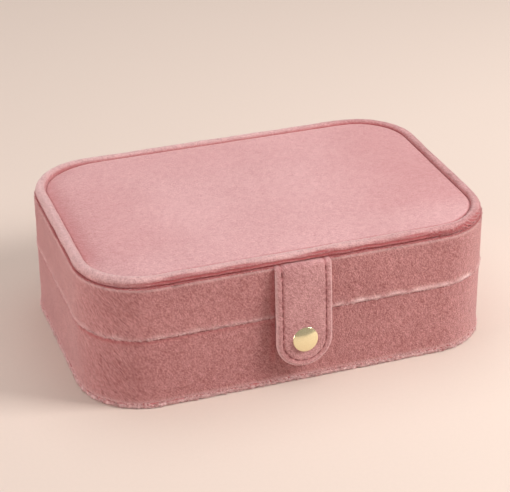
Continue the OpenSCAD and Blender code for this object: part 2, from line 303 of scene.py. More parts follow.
class Finish:
    def __init__(self, name):
        self.material = bpy.data.materials.new(name)
        self.material.use_nodes = True
        self.tree = self.material.node_tree
        self.shader = self.tree.nodes["Principled BSDF"]
        self.place = self.node("TexCoord", output="Object")

    def node(self, kind, settings=None, inputs=None, output=0):
        made = self.tree.nodes.new("ShaderNode" + kind)
        for key, value in (settings or {}).items():
            if key == "stops":
                ramp = made.color_ramp
                while len(ramp.elements) < len(value):
                    ramp.elements.new(0.5)
                for element, (position, tone) in zip(ramp.elements, value):
                    element.position = position
                    element.color = (*tone, 1) if hasattr(tone, "__len__") else (tone, tone, tone, 1)
            else:
                setattr(made, key, value)
        for key, value in (inputs or {}).items():
            self.feed(made.inputs[key], value)
        return Signal(self, made.outputs[output])

    def feed(self, socket, value):
        if isinstance(value, Signal):
            self.tree.links.new(value.socket, socket)
        elif hasattr(value, "__len__") and len(socket.default_value) == 4:
            socket.default_value = (*value, 1)
        else:
            socket.default_value = value

    def vector(self, operation, a, b):
        return self.node("VectorMath", {"operation": operation}, {0: a, 1: b})

    def noise(self, place, detail=3.0, roughness=0.55, output=0):
        return self.node("TexNoise", None, {"Vector": place, "Scale": 1.0, "Detail": detail,
                                            "Roughness": roughness}, output)

    def blend(self, factor, a, b):
        return self.node("Mix", {"data_type": "RGBA"}, {0: factor, 6: a, 7: b}, 2)

    def clamp(self, value):
        return self.node("Clamp", None, {"Value": value, "Min": 0.0, "Max": 1.0})

    def bump(self, height, strength, distance):
        return self.node("Bump", None, {"Height": height, "Strength": strength, "Distance": distance})

    def set(self, **values):
        for key, value in values.items():
            self.feed(self.shader.inputs[key.replace("_", " ")], value)
        return self.material


velvetLooks = {
    # nap: the pile's streaks along X, Y and Z in mm; patch: size of brushed patches in mm; the palest colour
    # is the painted highlight's
    "wallVelvet": {
        "deep": (0.265, 0.066, 0.066), "pale": (0.690, 0.335, 0.328), "highlightTint": (0.92, 0.65, 0.64),
        "nap": (0.45, 0.45, 1.20), "slant": 0.5, "patch": 26, "streak": 1.08, "clump": 0.42, "brushed": 0.25,
        "pile": 1.0, "sheen": 0.9, "sheenTint": (1.0, 0.70, 0.69),
    },
    "tabVelvet": {
        "deep": (0.290, 0.092, 0.094), "pale": (0.740, 0.405, 0.405), "highlightTint": (0.86, 0.62, 0.61),
        "nap": (0.46, 0.46, 0.75), "slant": 0.6, "patch": 18, "streak": 0.95, "clump": 0.4, "brushed": 0.45,
        "pile": 0.7, "sheen": 0.8, "sheenTint": (1.0, 0.78, 0.78),
    },
    # the lid top is the same velvet as the walls: its finer, softer grain is its own, its paler colours are
    # painted light for the top light and sheen
    "topVelvet": {
        "deep": (0.440, 0.192, 0.198), "pale": (0.750, 0.440, 0.452), "highlightTint": (0.86, 0.64, 0.64),
        "nap": (0.50, 0.50, 0.50), "slant": 0.2, "patch": 38, "streak": 0.95, "clump": 0.4, "brushed": 0.28,
        "pile": 0.5, "sheen": 0.7, "sheenTint": (1.0, 0.82, 0.82),
    },
    "pipingVelvet": {
        "deep": (0.270, 0.085, 0.087), "pale": (0.720, 0.390, 0.390), "highlightTint": (0.86, 0.62, 0.61),
        "nap": (0.5, 0.5, 0.5), "slant": 0.2, "patch": 14, "streak": 1.0, "clump": 0.5, "brushed": 0.4,
        "pile": 0.8, "sheen": 0.8, "sheenTint": (1.0, 0.80, 0.80),
    },
}


nap = {
    "wander": (0.0016, 0.0016, 0.0008),      # how far the streaks stray, in metres
    "relief": 0.6 * mm,
    # the painted shade's colour, and the faint red painted glow laid in it
    "paintedShade": (0.30, 0.048, 0.052), "paintedShadeGlow": (0.095, 0.013, 0.014),
}


def velvet(name):
    look = velvetLooks[name]
    f = Finish(name)
    lean = f.noise(f.vector("MULTIPLY", f.place, (160.0, 160.0, 160.0)), 1.0, output="Color")
    lean = f.vector("MULTIPLY", f.vector("SUBTRACT", lean, (0.5, 0.5, 0.5)), nap["wander"])
    height = f.node("SeparateXYZ", None, {"Vector": f.place}, "Z")
    slant = f.node("CombineXYZ", None, {"X": height * look["slant"], "Y": height * -look["slant"]})
    place = f.vector("ADD", f.vector("ADD", f.place, lean), slant)
    fine = tuple(1 / (n * mm) for n in look["nap"])
    wide = tuple(0.3 * n for n in fine)
    streaks = f.noise(f.vector("MULTIPLY", place, fine), 3.0, 0.6)
    clumps = f.noise(f.vector("MULTIPLY", place, wide), 2.0, 0.5)
    patches = f.noise(f.vector("MULTIPLY", f.place, (1000 / look["patch"],) * 3), 2.0, 0.5)
    tone = (0.5 + (streaks - 0.5) * (look["streak"] * 1.9) + (clumps - 0.5) * (look["clump"] * 1.6)
            + (patches - 0.5) * (look["brushed"] * 1.6))
    # each point carries two marks: one for painted highlight, one for painted shade
    brushed = f.node("Attribute", {"attribute_name": "brushed"}, output="Fac")
    shaded = f.node("Attribute", {"attribute_name": "shaded"}, output="Fac")
    colour = f.blend(f.clamp(tone), look["deep"], look["pale"])
    # painted highlight: the palest colour laid where light catches edges, lips and fibre tips
    colour = f.blend(f.clamp(brushed * (0.55 + streaks * 0.9)), colour, look["highlightTint"])
    # painted shade: a deep red laid in creases, gaps, under the piping and in the tab's shadow
    colour = f.blend(f.clamp(shaded * 0.85), colour, nap["paintedShade"])
    return f.set(
        Base_Color=colour,
        Roughness=f.clamp(0.95 - streaks * 0.2),
        Normal=f.bump(streaks + clumps * 0.5, look["pile"], nap["relief"]),
        # painted glow: a faint red emission in the painted shade, standing in for light scattered in the pile
        Emission_Color=f.blend(f.clamp(shaded), (0.0, 0.0, 0.0), nap["paintedShadeGlow"]),
        Emission_Strength=1.0,
        Specular_IOR_Level=0.12,
        Sheen_Weight=look["sheen"],
        Sheen_Roughness=0.45,
        Sheen_Tint=look["sheenTint"],
    )


suedeLooks = {
    "lining": {"deep": (0.52, 0.31, 0.275), "pale": (0.72, 0.50, 0.45), "grain": 0.5, "pile": 0.35},
    "pouchCloth": {"deep": (0.50, 0.29, 0.26), "pale": (0.70, 0.47, 0.43), "grain": 0.4, "pile": 0.3},
}


def suede(name):
    look = suedeLooks[name]
    f = Finish(name)
    fine = f.noise(f.vector("MULTIPLY", f.place, (1000 / look["grain"],) * 3), 3.0, 0.6)
    marks = f.noise(f.vector("MULTIPLY", f.place, (90.0, 90.0, 90.0)), 3.0, 0.6)
    tone = 0.5 + (fine - 0.5) * 1.3 + (marks - 0.5) * 1.1
    return f.set(
        Base_Color=f.blend(f.clamp(tone), look["deep"], look["pale"]),
        Roughness=f.clamp(0.9 - fine * 0.15),
        Normal=f.bump(fine + marks * 0.3, look["pile"], 0.25 * mm),
        Specular_IOR_Level=0.15,
        Sheen_Weight=0.35,
        Sheen_Roughness=0.4,
        Sheen_Tint=(1.0, 0.9, 0.86),
    )


def gold():
    f = Finish("paleGold")
    swirl = f.noise(f.vector("MULTIPLY", f.place, (900.0, 900.0, 900.0)), 3.0)
    dust = f.noise(f.vector("MULTIPLY", f.place, (4500.0, 4500.0, 4500.0)), 2.0)
    return f.set(
        Base_Color=f.blend(swirl, (0.88, 0.77, 0.46), (0.95, 0.86, 0.56)),
        Metallic=0.82,
        Roughness=f.clamp(0.12 + swirl * 0.08 + dust * 0.04),
        Normal=f.bump(dust, 0.04, 0.05 * mm),
    )


def threadFinish():
    f = Finish("thread")
    ply = f.noise(f.vector("MULTIPLY", f.place, (5000.0, 5000.0, 2600.0)), 2.0)
    return f.set(
        Base_Color=f.blend(f.clamp(ply), (0.13, 0.026, 0.028), (0.30, 0.085, 0.085)),
        Roughness=f.clamp(0.65 - ply * 0.2),
        Normal=f.bump(ply, 0.5, 0.15 * mm),
        Sheen_Weight=0.1,
    )


def greyBoard():
    f = Finish("greyBoard")
    pulp = f.noise(f.vector("MULTIPLY", f.place, (1500.0, 1500.0, 1500.0)), 4.0, 0.65)
    flecks = f.noise(f.vector("MULTIPLY", f.place, (300.0, 300.0, 300.0)), 2.0)
    return f.set(
        Base_Color=f.blend(f.clamp(pulp * 0.7 + flecks * 0.4), (0.16, 0.13, 0.10), (0.42, 0.36, 0.29)),
        Roughness=f.clamp(0.85 + pulp * 0.1),
        Normal=f.bump(pulp, 0.3, 0.1 * mm),
    )


def foamFinish():
    f = Finish("foam")
    cells = f.node("TexVoronoi", None, {"Vector": f.place, "Scale": 1400.0}, "Distance")
    return f.set(
        Base_Color=f.blend(f.clamp(cells * 1.4), (0.55, 0.50, 0.40), (0.82, 0.79, 0.70)),
        Roughness=0.95,
        Normal=f.bump(cells, 0.6, 0.3 * mm),
    )


wallVelvet = velvet("wallVelvet")
tabVelvet = velvet("tabVelvet")
topVelvet = velvet("topVelvet")
pipingVelvet = velvet("pipingVelvet")
lining = suede("lining")
pouchCloth = suede("pouchCloth")
paleGold = gold()
thread = threadFinish()
board = greyBoard()
foam = foamFinish()
print("finishes made")


# camera, light and floor
view = {"azimuth": -19.26, "elevation": 28.26, "roll": -0.34, "distance": 0.684,
        "target": (0.0004, 0.0021, 0.0289), "lens": 119.3}


def addCamera():
    a, e = math.radians(view["azimuth"]), math.radians(view["elevation"])
    back = Vector((math.sin(a) * math.cos(e), -math.cos(a) * math.cos(e), math.sin(e)))
    camera = bpy.data.objects.new("camera", bpy.data.cameras.new("camera"))
    bpy.context.collection.objects.link(camera)
    turn = (-back).to_track_quat("-Z", "Y").to_matrix() @ Matrix.Rotation(math.radians(view["roll"]), 3, "Z")
    camera.matrix_world = Matrix.Translation(Vector(view["target"]) + back * view["distance"]) @ turn.to_4x4()
    camera.data.lens = view["lens"]
    camera.data.sensor_width = 36
    camera.data.clip_start = 0.01
    bpy.context.scene.camera = camera


lights = {
    # place, aim, size, strength in watts, colour
    "key": ((0.66, -0.36, 0.53), (0, 0, 0.03), 0.32, 8.1, (1.0, 0.965, 0.94)),
    "top": ((-0.05, 0.20, 0.95), (0, 0.05, 0.03), 0.90, 4.85, (1.0, 0.97, 0.96)),
    "left": ((-0.95, -0.14, 0.10), (0, 0, 0.03), 0.40, 6.8, (1.0, 0.94, 0.92)),
}
ambient = {"colour": (0.93, 0.87, 0.84), "strength": 0.29}


def addLights():
    for name, (place, aim, size, strength, colour) in lights.items():
        lamp = bpy.data.lights.new(name, "AREA")
        lamp.shape = "SQUARE"
        lamp.size = size
        lamp.energy = strength
        lamp.color = colour
        holder = bpy.data.objects.new(name, lamp)
        holder.location = place
        holder.rotation_mode = "QUATERNION"
        holder.rotation_quaternion = (Vector(aim) - Vector(place)).to_track_quat("-Z", "Y")
        bpy.context.collection.objects.link(holder)
    world = bpy.data.worlds.new("room")
    world.use_nodes = True
    world.node_tree.nodes["Background"].inputs["Color"].default_value = (*ambient["colour"], 1)
    world.node_tree.nodes["Background"].inputs["Strength"].default_value = ambient["strength"]
    bpy.context.scene.world = world
    bpy.context.scene.view_settings.view_transform = "Standard"


def addFloor():
    f = Finish("floorPaint")
    tooth = f.noise(f.vector("MULTIPLY", f.place, (700.0, 700.0, 700.0)), 3.0)
    paint = f.set(
        Base_Color=f.blend(tooth, (0.695, 0.590, 0.520), (0.725, 0.616, 0.545)),
        Roughness=f.clamp(0.75 + tooth * 0.15),
        Normal=f.bump(tooth, 0.05, 0.2 * mm),
        Specular_IOR_Level=0.2,
    )
    reach = 4.0
    corners = [(-reach, -reach, 0), (reach, -reach, 0), (reach, reach, 0), (-reach, reach, 0)]
    mesh = bpy.data.meshes.new("floor")
    mesh.from_pydata(corners, [], [(0, 1, 2, 3)])
    mesh.materials.append(paint)
    floor = bpy.data.objects.new("floor", mesh)
    bpy.context.collection.objects.link(floor)


addCamera()
addLights()
addFloor()
print("camera, light and floor set")


# outer covers
tab = {
    "width": high("tab_face").x - low("tab_face").x,
    "middle": (high("tab_face").x + low("tab_face").x) / 2,
    "tip": low("tab_face").z,
    "thick": 2.3 * mm, "thickAtTop": 1.3 * mm,
    "lean": math.radians(3.0),
    "bendRadius": 1.2 * mm,
    "under": 1.8 * mm,           # how much of the tab lies under the piping
    "edgeRound": 1.1 * mm,
    "stitchIn": 2.6 * mm, "stitchLong": 2.5 * mm, "stitchPitch": 3.2 * mm, "threadRadius": 0.16 * mm,
}

snap = {
    "lean": math.radians(4.5), "rim": 0.32 * mm, "dome": 1.15 * mm,
    "seat": 0.45 * mm,           # how far the stud is pressed into the cloth
    "studRim": 0.28 * mm,
}

wallCloth = {
    "stations": 1180,        # steps round the case
    "rise": 0.75 * mm,       # steps up the wall
    "rim": 0.45 * mm,        # how softly the cloth turns over a rim
    "pile": 0.07 * mm,       # depth of the uneven pile
    "lip": 0.24 * mm,        # how far the lid's lower edge stands out
    "gap": 0.05 * mm,        # between the lid and the base when shut
}


def onFront(y):
    return y < -50 * mm


def mark(piece, name, values):
    # a value for each point, from 0 to 1, which the velvet's finish reads
    layer = piece.data.attributes.new(name, "FLOAT", "POINT")
    layer.data.foreach_set("value", np.asarray(values, dtype=np.float32).ravel())


def wallStep(p, q):
    # the hidden face takes few points, and rounded rims take many
    if p.x > 0.6 * mm and q.x > 0.6 * mm:
        return 3 * mm
    return wallCloth["rise"]


def addWallCloth(name, stops, body, node, shape, marks):
    points, faces = sweepRound(bentLine(stops, wallStep, 5), wallCloth["stations"])
    x, y, z = points.T
    places, ways = outline(wallCloth["stations"])
    perRing = len(points) // wallCloth["stations"]
    way = np.repeat(ways, perRing, axis=0)
    out = shape(x, y, z)
    surface = np.repeat((places * ways).sum(1), perRing)
    face = ease(surface - (x * way[:, 0] + y * way[:, 1]), 1.2 * mm, 0)     # 1 on the outer face
    x += way[:, 0] * out * face
    y += way[:, 1] * out * face
    a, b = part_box("snap_stud")
    reach = np.hypot(x - (a.x + b.x) / 2, z - (a.z + b.z) / 2)
    radius = (b.x - a.x) / 2 + 0.35 * mm
    y += snap["seat"] * (1 - ease(reach, radius, radius + 0.9 * mm)) * face * onFront(y)
    behindHinge = (y > 54 * mm) & (abs(x) < high("hinge_strip").x + 0.2 * mm)
    behindHinge &= (z > low("hinge_strip").z - 0.2 * mm) & (z < high("hinge_strip").z + 0.2 * mm)
    y[behindHinge] = np.minimum(y[behindHinge], low("hinge_strip").y - 0.05 * mm)
    piece = makePiece(name, np.stack([x, y, z], -1), faces, None, wallVelvet)
    for key, values in marks(x, y, z, face).items():
        mark(piece, key, values)
    roughen(piece, 0.09 * mm, 9 * mm, 3.0, (1, 1, 0.7))
    roughen(piece, wallCloth["pile"], 0.7 * mm, 8.0, (1, 1, 2.0))
    piece.data.flip_normals()        # the profile runs inwards, so its faces are turned out
    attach(piece, body)
    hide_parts(node)
    tall = max(s[1] for s in stops) - min(s[1] for s in stops)
    tall + 3.2 * mm
    return piece


def bumpAt(value, centre, width):
    return np.exp(-((value - centre) / width) ** 2)


def tabShadow(x, y, z):
    # painted shadow of the tab on the cloth along its left edge, which stays when the tab swings open
    left = tab["middle"] - tab["width"] / 2
    beside = ease(x, left - 2.6 * mm, left - 0.3 * mm) * ease(-x, -left - 1.5 * mm, -left)
    return 0.38 * beside * onFront(y) * ease(z, tab["tip"] - 0.5 * mm, tab["tip"] + 6 * mm)


def addOuterCovers():
    v, rim, gap = case["velvet"] - 0.05 * mm, wallCloth["rim"], wallCloth["gap"]
    edge = case["rimIn"] - 0.1 * mm
    parting = case["parting"]
    bottom, top = low("base_wall_board").z - 0.7 * mm, parting - gap / 2

    def baseShape(x, y, z):
        back = (0.02 + 0.20 * ease(-x, 25 * mm, 60 * mm)) * mm
        return 0.14 * mm * bumpAt(z, bottom + 1.2 * mm, 1.0 * mm) - back * bumpAt(z, top, 1.1 * mm)

    def baseMarks(x, y, z, face):
        # painted highlight along the hem's foot; painted shade just below the parting line, darker towards
        # the left; the tab's painted shadow
        partingShade = 0.02 + 0.35 * ease(-x, -10 * mm, 20 * mm) + 0.40 * ease(-x, 66 * mm, 80 * mm)
        return {"brushed": 0.35 * bumpAt(z, bottom + 0.4 * mm, 0.9 * mm),
                "shaded": np.maximum(partingShade * bumpAt(z, top - 1.0 * mm, 0.7 * mm), tabShadow(x, y, z))}

    addWallCloth("baseCover", [
        (0.0, bottom, 0.5 * mm), (0.0, top, rim), (edge, top, 0.2 * mm),
        (edge, top - v, 0.0), (v, top - v, 0.0), (v, bottom, 0.0)],
        "base", "base_cover", baseShape, baseMarks)
    bottom, top = parting + gap / 2, case["wallTop"]
    tuck = 2.4 * mm

    def lidShape(x, y, z):
        lip = wallCloth["lip"] * (1 + 0.7 * ripple(x, y, 7 * mm, 31.0))
        return lip * bumpAt(z, bottom + 0.6 * mm, 0.9 * mm) - 0.10 * mm * bumpAt(z, top, 1.5 * mm)

    def lidMarks(x, y, z, face):
        # painted highlight along the lower lip, patchy and stronger on the right, and along the wall's top
        # edge; painted shade in the crease under the piping; the tab's painted shadow
        frayedHighlight = np.clip(0.5 + 0.9 * ripple(x, y, 5 * mm, 37.0), 0, 1)
        right = 0.40 + 0.60 * ease(x, -10 * mm, 25 * mm)
        return {"brushed": (1.25 * right * frayedHighlight * face * bumpAt(z, bottom + 0.6 * mm, 1.15 * mm)
                            + 0.40 * bumpAt(z, top - 0.3 * mm, 0.6 * mm)),
                "shaded": np.maximum(0.9 * ease(z, top - 0.05 * mm, top + 0.25 * mm), tabShadow(x, y, z))}

    addWallCloth("lidCover", [
        (0.0, bottom, 0.3 * mm), (0.0, top + 0.35 * mm, 0.8 * mm), (tuck, top + 0.30 * mm, 0.0),
        (tuck, top - 0.02 * mm, 0.0),
        (v, top - 0.02 * mm, 0.0), (v, bottom + v, 0.0), (edge, bottom + v, 0.0), (edge, bottom, 0.2 * mm)],
        "lid", "lid_cover", lidShape, lidMarks)


underside = {"hem": 1.15 * mm, "setIn": 0.25 * mm, "hemIn": -0.38 * mm}


def addUnderside():
    # the bottom panel's cloth, turned up round its edge as a soft hem
    a, b, r = (case[k] - underside["setIn"] for k in ("halfLength", "halfWidth", "cornerRadius"))
    edges = [0, 0.05 * mm, 0.2 * mm, 0.45 * mm, 0.8 * mm, 1.3 * mm, 2.2 * mm]
    x, y, inset = roundedGrid(a, b, r, r, edges, 2.2 * mm)
    tall = high("underside_cover").z
    swell = roundEdge(inset, underside["hem"]) * tall / 2
    top = tall / 2 + swell - ease(inset, 1.2 * mm, 2.2 * mm) * (tall - 0.55 * mm)
    points, faces = cushionMesh(x, y, top, tall / 2 - swell, flatPlace())
    piece = makePiece("undersideCover", points, faces, "base", wallVelvet)
    mergePoints(piece)               # upper and lower face meet in one line at the edge
    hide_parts("underside_cover")


def addHem():
    # the fuzzy roll of the hem, which shows below the wall's cloth
    tall, r = high("underside_cover").z, underside["hem"]
    ring = []
    for k in range(18):
        angle = 2 * math.pi * k / 18
        across = math.copysign(abs(math.cos(angle)) ** (0.35 if angle > math.pi else 1), math.cos(angle))
        ring.append((underside["hemIn"] + r - r * across, tall / 2 + r * math.sin(angle)))
    points, faces = sweepRound(ring[::-1], 1500)
    piece = makePiece("hemRoll", points, faces, None, wallVelvet)
    z = points[:, 2]
    # painted highlight in patches along the hem, and painted shade in patches and along its top
    hemHighlight = np.clip(0.6 + 0.8 * ripple(points[:, 0], points[:, 1], 1.4 * mm, 3.0), 0, 1)
    mark(piece, "brushed", 1.2 * hemHighlight * bumpAt(z, 1.0 * mm, 1.0 * mm))
    hemShade = np.clip(1.7 * ripple(points[:, 0], points[:, 1] + 2 * z, 1.0 * mm, 9.0), 0, 0.85)
    mark(piece, "shaded", np.maximum(hemShade, 0.95 * ease(z, tall - 1.1 * mm, tall - 0.2 * mm)))
    roughen(piece, 0.50 * mm, 1.0 * mm, 21.0, (1, 1, 0.8))
    roughen(piece, 0.16 * mm, 4.0 * mm, 5.0)
    points = pointsOf(piece)
    points[:, 2] = np.maximum(points[:, 2], 0.02 * mm)
    piece.data.vertices.foreach_set("co", points.ravel())
    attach(piece, "base")


pileDice = np.random.RandomState(11)


def addPile(name, body, tufts, heights, insets, lean, length, width=0.16 * mm, fibreHighlight=0.75):
    # tufts of fibres that stand out of the cloth along an edge, all round the case
    places, ways = outline(4000)
    perTuft = 5
    count = tufts * perTuft
    pick = np.repeat(pileDice.randint(0, 4000, tufts), perTuft) + pileDice.randint(-3, 4, count)
    place, way = places[pick % 4000], ways[pick % 4000]
    inset = np.repeat(pileDice.uniform(*insets, tufts), perTuft)
    z = np.repeat(pileDice.uniform(*heights, tufts), perTuft) + pileDice.normal(0, 0.1 * mm, count)
    root = np.concatenate([place - way * inset[:, None], z[:, None]], 1)
    side = np.stack([-way[:, 1], way[:, 0], np.zeros(count)], -1)
    out = np.concatenate([way, np.zeros((count, 1))], 1)
    up = np.array([0, 0, 1.0])
    tilt = np.repeat(pileDice.uniform(*lean, tufts), perTuft)[:, None]
    sway = np.repeat(pileDice.normal(0, 0.6, tufts), perTuft)[:, None] + pileDice.normal(0, 0.2, (count, 1))
    heading = out * np.cos(tilt) + up * np.sin(tilt) + side * sway
    heading /= np.linalg.norm(heading, axis=1, keepdims=True)
    far = np.repeat(pileDice.uniform(*length, tufts), perTuft)[:, None] * pileDice.uniform(0.7, 1, (count, 1))
    across = np.cross(heading, pileDice.normal(0, 1, (count, 3)))
    across *= width / 2 / np.linalg.norm(across, axis=1, keepdims=True)
    thick = np.cross(heading, across) * 0.8
    # each fibre is a closed spike on a three-sided foot
    corners = [root - across - thick / 2, root + across - thick / 2, root + thick, root + heading * far]
    points = np.stack(corners, 1).reshape(-1, 3)
    points[:, 2] = np.maximum(points[:, 2], 0.03 * mm)
    # painted highlight on the fibres, random in strength from tuft to tuft
    tone = np.repeat(fibreHighlight * pileDice.uniform(0.3, 1.2, tufts), perTuft * 4)
    # none grows along the hinge or under the tab
    hinged = (root[:, 1] > 44 * mm) & (abs(z - case["parting"]) < 9.5 * mm)
    tabbed = onFront(root[:, 1]) & (abs(root[:, 0] - tab["middle"]) < tab["width"] / 2) & (z > 8 * mm)
    free = np.repeat(~(hinged | tabbed), 4)
    points, tone = points[free], tone[free]
    first = np.arange(0, len(points), 4)[:, None, None]
    faces = (first + np.array([(0, 2, 1), (0, 1, 3), (1, 2, 3), (2, 0, 3)])).reshape(-1, 3).tolist()
    piece = makePiece(name, points, faces, body, wallVelvet, smooth=False)
    mark(piece, "brushed", np.clip(tone, 0, 1))
    return piece


def addEdgePile():
    down, level, upward = (-1.3, -0.2), (-0.5, 0.6), (0.2, 1.2)
    addPile("hemPile", "base", 2600, (0.4 * mm, 2.3 * mm), (-0.35 * mm, 0.1 * mm), down, (0.5 * mm, 1.2 * mm),
            0.20 * mm, fibreHighlight=1.4)
    rim = case["parting"]
    addPile("rimPile", "base", 900, (rim - 0.9 * mm, rim - 0.3 * mm), (0.25 * mm, 0.5 * mm), level,
            (0.25 * mm, 0.6 * mm), fibreHighlight=0.45)
    addPile("lipPile", "lid", 2600, (rim + 0.1 * mm, rim + 0.9 * mm), (-0.25 * mm, 0.1 * mm), down,
            (0.3 * mm, 0.9 * mm), 0.15 * mm, fibreHighlight=1.2)
    top = case["wallTop"]
    addPile("edgePile", "lid", 1900, (top - 0.6 * mm, top + 0.2 * mm), (0.05 * mm, 0.6 * mm), upward,
            (0.3 * mm, 0.8 * mm), 0.14 * mm, fibreHighlight=0.9)


addOuterCovers()
addUnderside()
addHem()
addEdgePile()
print("outer covers made")


# padded lid
lidPad = {
    "setIn": 4.35 * mm, "edge": 3.1 * mm, "crown": 4.55 * mm, "round": 1.3 * mm,
    "cell": 3.0 * mm, "pressure": 4.0, "swell": 1.2 * mm, "frames": 16,
    "leftDip": 1.0 * mm, "frontLap": 0.9 * mm,
}


def swellCloth(piece, pinned, pressure, frames, cap):
    # lets the cloth swell over its stuffing while its sewn edge holds, and keeps the result
    rest = pointsOf(piece)
    group = piece.vertex_groups.new(name="sewn")
    group.add([int(v) for v in pinned], 1.0, "REPLACE")
    cloth = piece.modifiers.new("cloth", "CLOTH")
    cloth.settings.quality = 6
    cloth.settings.mass = 0.3
    cloth.settings.tension_stiffness = 25
    cloth.settings.compression_stiffness = 25
    cloth.settings.shear_stiffness = 10
    cloth.settings.bending_stiffness = 0.8
    cloth.settings.air_damping = 2
    cloth.settings.use_pressure = True
    cloth.settings.uniform_pressure_force = pressure
    cloth.settings.vertex_group_mass = "sewn"
    cloth.settings.effector_weights.gravity = 0
    cloth.point_cache.frame_end = frames
    for step in range(1, frames + 1):
        bpy.context.scene.frame_set(step)
    shaped = piece.evaluated_get(bpy.context.evaluated_depsgraph_get())
    move = pointsOf(shaped) - rest
    length = np.linalg.norm(move, axis=1, keepdims=True)
    move *= np.minimum(1, cap / np.maximum(length, 1e-9))
    piece.modifiers.clear()
    piece.data.vertices.foreach_set("co", (rest + move).ravel())
    piece.vertex_groups.clear()
    piece.data.update()
    bpy.context.scene.frame_set(1)
    print(piece.name, "swelled by up to", round(float(length.max()) * 1000, 2), "mm")


def addLidPad():
    p = lidPad
    a, b, r = (case[k] - p["setIn"] for k in ("halfLength", "halfWidth", "cornerRadius"))
    edges = [e * mm for e in (0, 0.08, 0.3, 0.7, 1.2, 2.0, 3.2, 5.0)]
    x, y, inset = roundedGrid(a, b, r, r, edges, p["cell"])
    y = y - p["frontLap"] * ease(-y, 25 * mm, 48 * mm) * (1 - ease(abs(x), 58 * mm, 72 * mm))
    base = case["wallTop"] + 0.1 * mm
    crown = 1 - (1 - np.clip(inset / (26 * mm), 0, 1)) ** 2.2
    rise = p["crown"] - p["edge"] - (p["swell"] if softWork else 0)
    dip = p["leftDip"] * ease(-x, 50 * mm, 70 * mm) * (1 - ease(inset, 3 * mm, 16 * mm))
    top = (p["edge"] - dip) * roundEdge(inset, p["round"]) + rise * crown
    top += 0.12 * mm * ripple(x, y, 17 * mm, 4.0) * ease(inset, 0, 8 * mm)
    points, faces = cushionMesh(x, y, base + top, np.full_like(top, base), flatPlace())
    piece = makePiece("lidPad", points, faces, None, topVelvet)
    if softWork:
        held = np.concatenate([(inset < 3.3 * mm).ravel(), np.ones(inset.size, dtype=bool)])
        swellCloth(piece, np.nonzero(held)[0], p["pressure"], p["frames"], p["swell"])
    refine(piece, 1)
    x, y = pointsOf(piece)[:, :2].T
    # painted shade: darker towards the right, the left and the back of the pad, and along its edge beside the
    # piping
    sideShade = 0.32 * ease(x, 15 * mm, 72 * mm) + 0.24 * ease(-x, 25 * mm, 68 * mm)
    sideShade = sideShade + 0.35 * ease(-x, 69 * mm, 78 * mm)
    sideShade = np.maximum(sideShade, 0.18 * ease(y, 8 * mm, 46 * mm)) * ease(y, -42 * mm, -25 * mm)
    past = np.hypot(np.maximum(abs(x) - a + r, 0), np.maximum(abs(y) - b + r, 0))
    mark(piece, "shaded", np.maximum(sideShade, 0.75 * ease(past, r - 1.7 * mm, r - 0.4 * mm)))
    roughen(piece, 0.05 * mm, 1.1 * mm, 9.0)
    roughen(piece, 0.07 * mm, 4.5 * mm, 19.0)
    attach(piece, "lid")
    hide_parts("lid_top_cover", "lid_foam")


def refine(piece, levels):
    # smooth subdivision, applied to the mesh
    finer = piece.modifiers.new("finer", "SUBSURF")
    finer.levels = finer.render_levels = levels
    shaped = piece.evaluated_get(bpy.context.evaluated_depsgraph_get())
    mesh = bpy.data.meshes.new_from_object(shaped)
    old = piece.data
    piece.modifiers.clear()
    piece.data = mesh
    bpy.data.meshes.remove(old)
    mesh.name = piece.name
    mesh.polygons.foreach_set("use_smooth", [True] * len(mesh.polygons))


piping = {"radius": 2.15 * mm, "setIn": 2.80 * mm, "above": 2.35 * mm, "below": 1.85 * mm, "wrap": 46,
          "crease": 0.27 * mm}


def addPiping():
    # a covered cord, pressed flat below and creased along the front where the cloth is drawn in
    p = piping
    centre = case["wallTop"] + p["below"]
    angles = [2 * math.pi * k / p["wrap"] for k in range(p["wrap"])]
    steps = 1300
    ring = []
    for angle in angles:
        tall = p["above"] if angle < math.pi else p["below"]
        ring.append((p["setIn"] - p["radius"] * math.cos(angle), centre + tall * math.sin(angle)))
    points, faces = sweepRound(ring[::-1], steps)
    x, y, z = points.T
    along = np.repeat(np.arange(steps) / steps, p["wrap"]) * 480 * mm
    front = ease(-y, 44 * mm, 52 * mm) * ease(x, -76 * mm, -50 * mm)
    corner = ease(x, 50 * mm, 66 * mm) * ease(-y, 30 * mm, 44 * mm)
    wander = 2.6 * ripple(x, y, 13 * mm, 7.0) + 1.2 * ripple(x, y, 4 * mm, 17.0)
    folds = np.sin((z - centre) / (0.20 * mm) + wander + corner * along / (0.45 * mm))
    reach = 1.9 * mm + 0.9 * mm * ripple(x, y, 15 * mm, 27.0) + 0.4 * mm * corner
    lower = ease(centre + reach - z, 0, 1.2 * mm)
    squeeze = np.maximum(front, corner) * lower
    under = ease(centre - z, -0.1 * mm, 1.2 * mm)
    inset = np.tile([r[0] for r in ring[::-1]], steps)
    inner = ease(inset, p["setIn"] + 0.3 * mm, p["setIn"] + 1.6 * mm)
    inner = inner * ease(centre + 2.2 * mm - z, 0, 1.2 * mm)
    right = ease(x, 10 * mm, 76 * mm)
    piece = makePiece("lidPiping", points, faces, None, pipingVelvet)
    # painted highlight on the piping's upper side, weaker on the right; painted shade on the right,
    # underneath, on the inner side and in the front creases
    mark(piece, "brushed", (0.35 - 0.3 * right) * (1 - front * lower) * ease(z - centre, -0.6 * mm, 1.4 * mm))
    pipingShade = 0.12 * right + 0.65 * under + 0.7 * inner + squeeze * (0.75 + 0.45 * folds)
    mark(piece, "shaded", np.clip(pipingShade, 0, 1))
    pushOut(piece, -p["crease"] * squeeze * folds)
    roughen(piece, 0.22 * mm, 11 * mm, 2.0)
    roughen(piece, 0.11 * mm, 0.8 * mm, 12.0)
    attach(piece, "lid")
    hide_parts("lid_piping")


